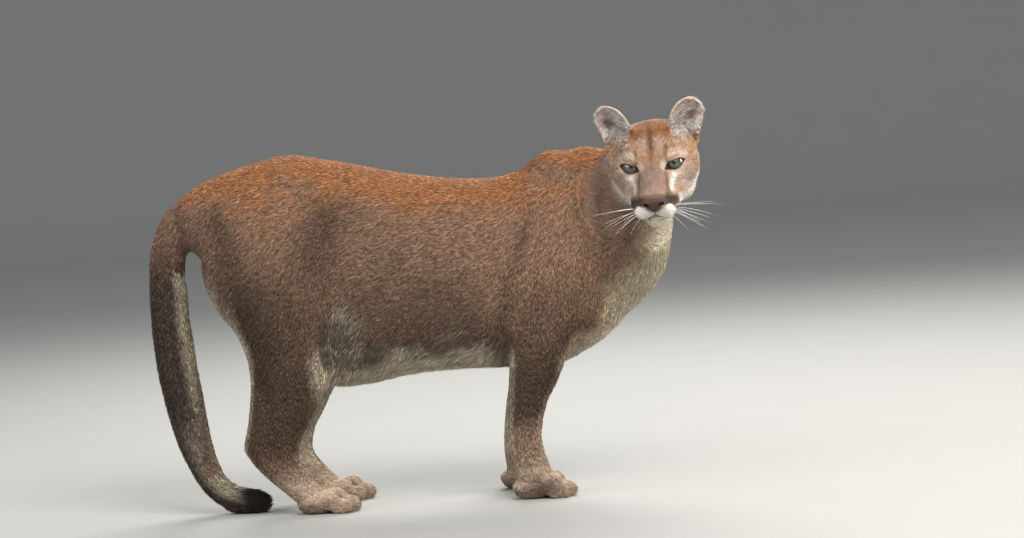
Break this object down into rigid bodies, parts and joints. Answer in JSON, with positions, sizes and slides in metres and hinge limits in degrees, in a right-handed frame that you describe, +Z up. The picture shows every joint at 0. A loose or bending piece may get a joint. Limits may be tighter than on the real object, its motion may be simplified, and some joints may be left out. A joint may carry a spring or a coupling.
{
  "type": "cougar",
  "caption": "Life-size standing cougar with its head turned to its right, short tawny coat, rounded ears and a long tail that hangs down behind and rests its tip on the floor.",
  "frame": {"origin": "middle of the bounding box on the floor, below the belly", "axes": "+X forwards along the body, +Y to the animal's left, +Z up from the floor"},
  "size_m": [1.1464, 0.4128, 0.7741],
  "materials": {
    "body_coat": "short dense fur, tawny grey-brown, warmer along the back and pale below",
    "head_coat": "very short dense fur, tawny with white muzzle and dark muzzle sides",
    "ear_coat": "thin fur over skin, grey-brown with pale hairs inside",
    "leg_coat": "short close fur, tawny outside and pale inside",
    "paw_coat": "very short fur, pale cream-grey",
    "tail_coat": "short dense fur, grey-brown",
    "tail_tip_coat": "short dense fur, dark brown to black",
    "eye": "wet, clear over a grey-green iris with a round dark pupil",
    "nose_leather": "finely grained, slightly moist, pinkish brown with a dark rim",
    "horn": "smooth horn of the claws",
    "whisker": "stiff white hair"
  },
  "bodies": {
    "root": {"head": "head_coat", "ear_left": "ear_coat", "ear_right": "ear_coat", "eye_left": "eye", "eye_right": "eye", "nose": "nose_leather", "neck": "body_coat", "torso": "body_coat", "shoulder_left": "body_coat", "shoulder_right": "body_coat", "foreleg_left": "leg_coat", "foreleg_right": "leg_coat", "forepaw_left": "paw_coat", "forepaw_right": "paw_coat", "thigh_left": "body_coat", "thigh_right": "body_coat", "shank_left": "leg_coat", "shank_right": "leg_coat", "hind_paw_left": "paw_coat", "hind_paw_right": "paw_coat", "tail_1": "tail_coat", "tail_2": "tail_coat", "tail_3": "tail_tip_coat"}
  },
  "joints": []
}
